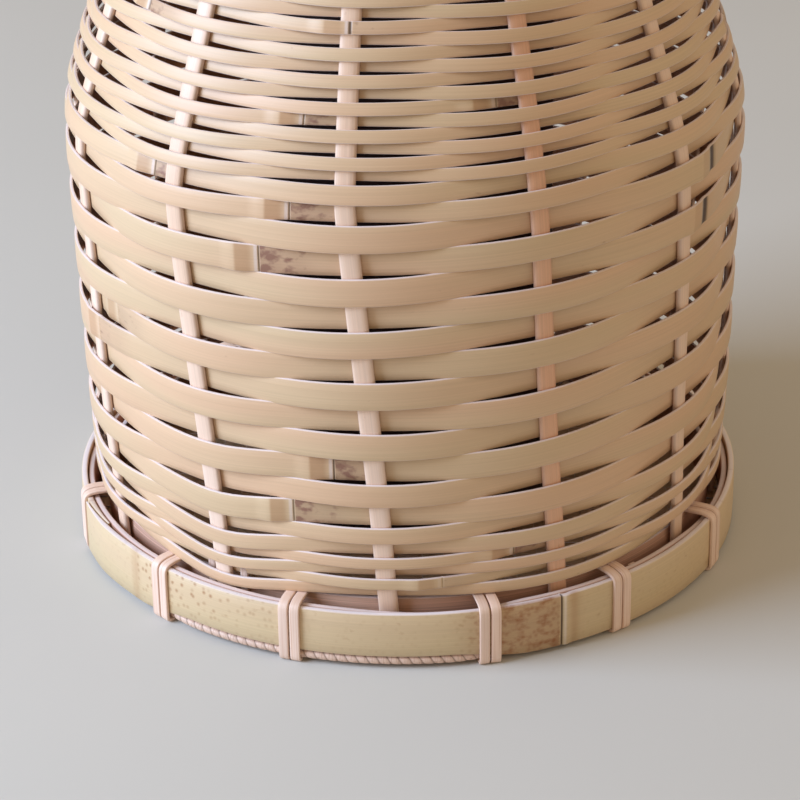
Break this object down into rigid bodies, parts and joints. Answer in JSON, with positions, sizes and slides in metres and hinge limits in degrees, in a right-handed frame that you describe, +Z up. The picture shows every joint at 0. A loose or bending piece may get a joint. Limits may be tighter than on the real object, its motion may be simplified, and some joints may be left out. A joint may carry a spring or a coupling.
{
  "type": "flower basket",
  "caption": "Round woven bamboo flower basket with upright stakes, chasing weavers, a rattan-lashed foot ring and mouth rim, and a loose water tube that lifts out.",
  "frame": {"origin": "on the ground at the middle of the foot ring", "axes": "+Z up along the basket's axis, -Y towards the picture's camera, +X to its right"},
  "size_m": [0.174, 0.174, 0.2134],
  "materials": {
    "bamboo_skin": "satin natural bamboo skin",
    "peeled_bamboo": "matt peeled bamboo with fine grain lines",
    "band_bamboo": "satin yellow bamboo skin with brown spots",
    "rattan": "satin split rattan",
    "black_plastic": "plain black"
  },
  "bodies": {
    "basket": {"stake_01": "peeled_bamboo", "stake_02": "peeled_bamboo", "stake_03": "peeled_bamboo", "stake_04": "peeled_bamboo", "stake_05": "peeled_bamboo", "stake_06": "peeled_bamboo", "stake_07": "peeled_bamboo", "stake_08": "peeled_bamboo", "stake_09": "peeled_bamboo", "stake_10": "peeled_bamboo", "stake_11": "peeled_bamboo", "stake_12": "peeled_bamboo", "foot_filler_band": "peeled_bamboo", "foot_inner_band": "peeled_bamboo", "rim_inner_band": "peeled_bamboo", "foot_weaver_a": "bamboo_skin", "foot_weaver_b": "bamboo_skin", "lower_body_weaver_a": "bamboo_skin", "lower_body_weaver_b": "bamboo_skin", "upper_body_weaver_a": "bamboo_skin", "upper_body_weaver_b": "bamboo_skin", "shoulder_weaver_1_a": "bamboo_skin", "shoulder_weaver_1_b": "bamboo_skin", "shoulder_weaver_2_a": "bamboo_skin", "shoulder_weaver_2_b": "bamboo_skin", "shoulder_weaver_3_a": "bamboo_skin", "shoulder_weaver_3_b": "bamboo_skin", "base_mat": "bamboo_skin", "rim_cover": "bamboo_skin", "foot_band": "band_bamboo", "rim_outer_band": "band_bamboo", "foot_lashing_01": "rattan", "foot_lashing_02": "rattan", "foot_lashing_03": "rattan", "foot_lashing_04": "rattan", "foot_lashing_05": "rattan", "foot_lashing_06": "rattan", "foot_lashing_07": "rattan", "foot_lashing_08": "rattan", "foot_lashing_09": "rattan", "foot_lashing_10": "rattan", "foot_lashing_11": "rattan", "foot_lashing_12": "rattan", "rim_lashing_01": "rattan", "rim_lashing_02": "rattan", "rim_lashing_03": "rattan", "rim_lashing_04": "rattan", "rim_lashing_05": "rattan", "rim_lashing_06": "rattan", "rim_lashing_07": "rattan", "rim_lashing_08": "rattan", "rim_lashing_09": "rattan", "rim_lashing_10": "rattan", "rim_lashing_11": "rattan", "rim_lashing_12": "rattan", "foot_hoop": "rattan"},
    "water_tube": {"water_tube": "black_plastic"}
  },
  "joints": [
    {"name": "water_tube_lift", "type": "slide", "parent": "basket", "child": "water_tube", "axis": [0, 0, 1], "range_m": [0, 0.22]}
  ]
}
